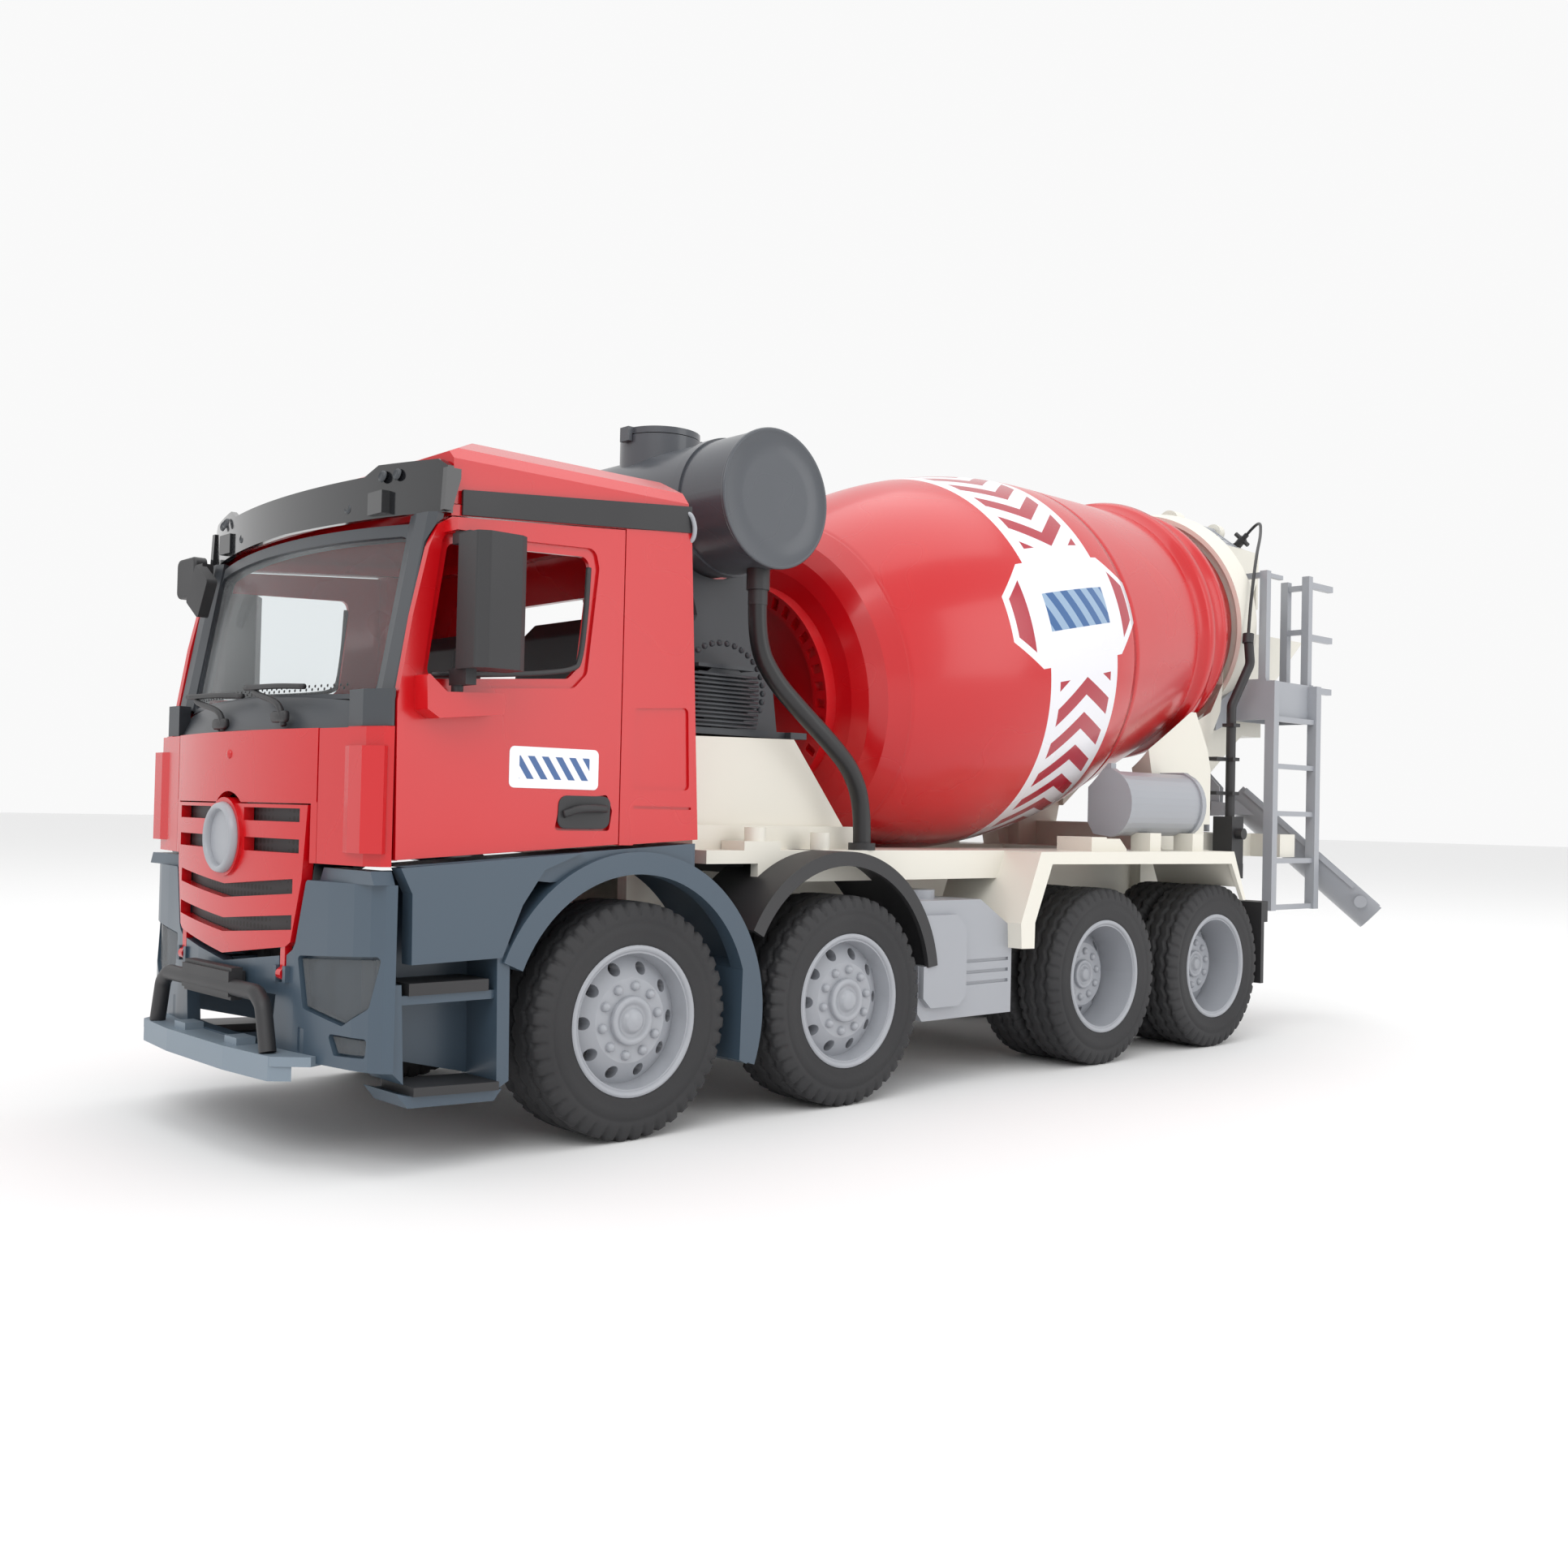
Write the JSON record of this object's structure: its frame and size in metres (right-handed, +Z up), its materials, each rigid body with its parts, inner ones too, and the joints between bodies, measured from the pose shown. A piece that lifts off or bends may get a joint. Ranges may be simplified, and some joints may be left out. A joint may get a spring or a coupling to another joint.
{
  "type": "toy cement mixer",
  "caption": "Four-axle toy cement mixer truck: tilting cab with opening doors, turning drum, loading hopper, discharge funnel, swinging chute, water tank and ladder.",
  "frame": {"origin": "centre of the footprint on the ground: midway between bumper step and funnel lip, midway between the sides, at the tyres' contact height", "axes": "+Y towards the rear (chute end), so the cab faces -Y; +X to the vehicle's left; +Z up"},
  "size_m": [0.1884, 0.5809, 0.253],
  "materials": {
    "red_abs": "satin",
    "slate_abs": "satin",
    "dark_grey_abs": "satin",
    "black_abs": "matt",
    "black_gloss": "gloss",
    "cream_abs": "satin",
    "silver_abs": "satin",
    "tyre_rubber": "matt",
    "clear_ps": "clear",
    "light_grey_abs": "satin",
    "hose_pvc": "satin"
  },
  "bodies": {
    "chassis": {"chassis_frame": "black_abs", "rear_bar": "black_abs", "front_bumper": "slate_abs", "lamp_lenses": "clear_ps", "bumper_step": "light_grey_abs", "bull_bar": "black_abs", "front_wings": "slate_abs", "step_treads": "black_abs", "second_wings": "black_abs", "side_boxes": "silver_abs", "mixer_subframe": "cream_abs", "rear_support": "cream_abs", "water_tank_upper": "dark_grey_abs", "water_tank_lower": "dark_grey_abs", "tank_bracket": "dark_grey_abs", "pump_motor": "dark_grey_abs", "hose_fittings": "black_abs", "water_hose": "hose_pvc", "spray_pipe": "black_abs", "spray_hose": "hose_pvc", "spray_nozzle": "black_abs", "saddle_tanks": "silver_abs", "hopper": "cream_abs", "discharge_funnel": "cream_abs", "platform_and_ladder": "silver_abs"},
    "axle_1": {"wheelset_1": "silver_abs", "tyres_1": "tyre_rubber"},
    "axle_2": {"wheelset_2": "silver_abs", "tyres_2": "tyre_rubber"},
    "axle_3": {"wheelset_3": "silver_abs", "tyres_3": "tyre_rubber"},
    "axle_4": {"wheelset_4": "silver_abs", "tyres_4": "tyre_rubber"},
    "cab": {"cab_shell": "red_abs", "cab_roof": "red_abs", "roof_strip": "black_abs", "windscreen_frame": "dark_grey_abs", "windscreen": "clear_ps", "front_panel": "red_abs", "grille": "red_abs", "grille_mesh": "black_abs", "badge_disc": "silver_abs", "corner_deflectors": "red_abs", "sun_visor": "black_gloss", "front_mirror": "black_abs", "dashboard": "black_abs", "steering_wheel": "black_abs", "seats": "black_abs"},
    "door_left_body": {"door_left": "red_abs"},
    "door_right_body": {"door_right": "red_abs", "kerb_mirror": "black_abs"},
    "mirror_left_body": {"mirror_left": "black_abs"},
    "mirror_right_body": {"mirror_right": "black_abs"},
    "tank_lid_body": {"tank_lid": "dark_grey_abs"},
    "hopper_grate_body": {"hopper_grate": "silver_abs"},
    "chute_head_body": {"chute_head": "silver_abs"},
    "chute_trough_body": {"chute_trough": "silver_abs"},
    "drum": {"drum_front": "red_abs", "drum_barrel": "red_abs", "drum_rear": "red_abs"}
  },
  "joints": [
    {"name": "axle_1_spin", "type": "hinge", "parent": "chassis", "child": "axle_1", "pos_m": [0, -0.19145, 0.035], "axis": [1, 0, 0], "continuous": true},
    {"name": "axle_2_spin", "type": "hinge", "parent": "chassis", "child": "axle_2", "pos_m": [0, -0.10215, 0.035], "axis": [1, 0, 0], "continuous": true},
    {"name": "axle_3_spin", "type": "hinge", "parent": "chassis", "child": "axle_3", "pos_m": [0, 0.04185, 0.035], "axis": [1, 0, 0], "continuous": true},
    {"name": "axle_4_spin", "type": "hinge", "parent": "chassis", "child": "axle_4", "pos_m": [0, 0.12315, 0.035], "axis": [1, 0, 0], "continuous": true},
    {"name": "cab_tilt", "type": "hinge", "parent": "chassis", "child": "cab", "pos_m": [0, -0.28005, 0.05], "axis": [1, 0, 0], "range_deg": [0, 40]},
    {"name": "door_left_hinge", "type": "hinge", "parent": "cab", "child": "door_left_body", "pos_m": [0.075, -0.26945, 0.11], "axis": [0, 0, -1], "range_deg": [0, 70]},
    {"name": "door_right_hinge", "type": "hinge", "parent": "cab", "child": "door_right_body", "pos_m": [-0.075, -0.26945, 0.11], "axis": [0, 0, 1], "range_deg": [0, 70]},
    {"name": "mirror_left_fold", "type": "hinge", "parent": "door_left_body", "child": "mirror_left_body", "pos_m": [0.0792, -0.25505, 0.13], "axis": [0, 0, 1], "range_deg": [0, 36]},
    {"name": "mirror_right_unfold", "type": "hinge", "parent": "door_right_body", "child": "mirror_right_body", "pos_m": [-0.0792, -0.25505, 0.13], "axis": [0, 0, 1], "range_deg": [0, 36]},
    {"name": "drum_spin", "type": "hinge", "parent": "chassis", "child": "drum", "pos_m": [0, -0.07567, 0.1441], "axis": [0, 0.9812, 0.193], "continuous": true},
    {"name": "tank_lid_hinge", "type": "hinge", "parent": "chassis", "child": "tank_lid_body", "pos_m": [0, -0.11135, 0.23], "axis": [-1, 0, 0], "range_deg": [0, 100]},
    {"name": "hopper_grate_hinge", "type": "hinge", "parent": "chassis", "child": "hopper_grate_body", "pos_m": [0.004, 0.21355, 0.2474], "axis": [0, -1, 0], "range_deg": [0, 100]},
    {"name": "chute_swivel", "type": "hinge", "parent": "chassis", "child": "chute_head_body", "pos_m": [0, 0.22955, 0.1], "axis": [0, 0, 1], "range_deg": [0, 126]},
    {"name": "chute_fold", "type": "hinge", "parent": "chute_head_body", "child": "chute_trough_body", "pos_m": [0.01337, 0.23636, 0.104], "axis": [0.454, -0.891, 0], "range_deg": [0, 30]}
  ]
}
